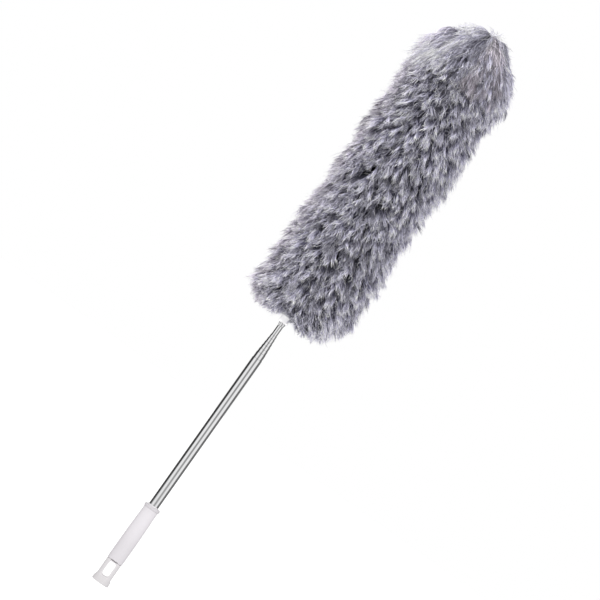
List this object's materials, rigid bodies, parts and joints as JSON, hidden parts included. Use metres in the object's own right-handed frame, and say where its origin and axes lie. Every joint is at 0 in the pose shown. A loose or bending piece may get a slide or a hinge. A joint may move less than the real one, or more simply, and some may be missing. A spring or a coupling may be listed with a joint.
{
  "type": "extendable dusting brush",
  "caption": "Telescoping steel pole with a moulded hanging handle and a long soft microfibre head on a bendable core.",
  "frame": {"origin": "middle of the end face of the handle", "axes": "+Z along the pole from the handle to the head, hang slot through along Y"},
  "size_m": [0.124, 0.124, 0.7573],
  "materials": {
    "pale_plastic": "satin",
    "white_plastic": "satin",
    "grey_plastic": "matte",
    "polished_steel": "polished",
    "spring_brass": "satin",
    "core_wire_steel": "satin",
    "knitted_backing": "matte",
    "elastic_band": "matte",
    "microfibre": "matte"
  },
  "bodies": {
    "handle": {"hang_cap": "pale_plastic", "grip_sleeve": "pale_plastic", "tube_ferrule": "pale_plastic", "tube_stopper": "grey_plastic", "tube_1": "polished_steel"},
    "section_2": {"tube_2": "polished_steel", "slide_spring_2": "spring_brass"},
    "section_3": {"tube_3": "polished_steel", "slide_spring_3": "spring_brass"},
    "section_4": {"tube_4": "polished_steel", "slide_spring_4": "spring_brass"},
    "section_5": {"tube_5": "polished_steel", "slide_spring_5": "spring_brass"},
    "section_6": {"tube_6": "polished_steel", "slide_spring_6": "spring_brass"},
    "section_7": {"tube_7": "polished_steel", "slide_spring_7": "spring_brass"},
    "section_8": {"tube_8": "polished_steel", "slide_spring_8": "spring_brass", "tip_plug": "polished_steel"},
    "head_base": {"head_connector": "white_plastic", "sleeve_elastic": "elastic_band", "core_wire_1": "core_wire_steel", "core_sheath_1": "grey_plastic", "backing_1": "knitted_backing", "fluff_1": "microfibre"},
    "head_lower": {"core_wire_2": "core_wire_steel", "core_sheath_2": "grey_plastic", "backing_2": "knitted_backing", "fluff_2": "microfibre"},
    "head_middle": {"core_wire_3": "core_wire_steel", "core_sheath_3": "grey_plastic", "backing_3": "knitted_backing", "fluff_3": "microfibre"},
    "head_upper": {"core_wire_4": "core_wire_steel", "core_sheath_4": "grey_plastic", "backing_4": "knitted_backing", "fluff_4": "microfibre", "core_tip_cap": "grey_plastic"}
  },
  "joints": [
    {"name": "slide_2", "type": "slide", "parent": "handle", "child": "section_2", "axis": [0, 0, 1], "range_m": [0, 0.2416]},
    {"name": "slide_3", "type": "slide", "parent": "section_2", "child": "section_3", "axis": [0, 0, 1], "range_m": [0, 0.2483]},
    {"name": "slide_4", "type": "slide", "parent": "section_3", "child": "section_4", "axis": [0, 0, 1], "range_m": [0, 0.2525]},
    {"name": "slide_5", "type": "slide", "parent": "section_4", "child": "section_5", "axis": [0, 0, 1], "range_m": [0, 0.2568]},
    {"name": "slide_6", "type": "slide", "parent": "section_5", "child": "section_6", "axis": [0, 0, 1], "range_m": [0, 0.2608]},
    {"name": "slide_7", "type": "slide", "parent": "section_6", "child": "section_7", "axis": [0, 0, 1], "range_m": [0, 0.2654]},
    {"name": "slide_8", "type": "slide", "parent": "section_7", "child": "section_8", "axis": [0, 0, 1], "range_m": [0, 0.2694]},
    {"name": "head_pull_off", "type": "slide", "parent": "section_8", "child": "head_base", "axis": [0, 0, 1], "range_m": [0, 0.018]},
    {"name": "bend_1", "type": "hinge", "parent": "head_base", "child": "head_lower", "pos_m": [0, 0, 0.46], "axis": [0, 1, 0], "range_deg": [-30, 30]},
    {"name": "bend_2", "type": "hinge", "parent": "head_lower", "child": "head_middle", "pos_m": [0, 0, 0.56], "axis": [0, 1, 0], "range_deg": [-30, 30]},
    {"name": "bend_3", "type": "hinge", "parent": "head_middle", "child": "head_upper", "pos_m": [0, 0, 0.66], "axis": [0, 1, 0], "range_deg": [-30, 30]}
  ],
  "couplings": [
    {"joint": "bend_2", "follows": "bend_1", "ratio": 1},
    {"joint": "bend_3", "follows": "bend_1", "ratio": 1}
  ]
}
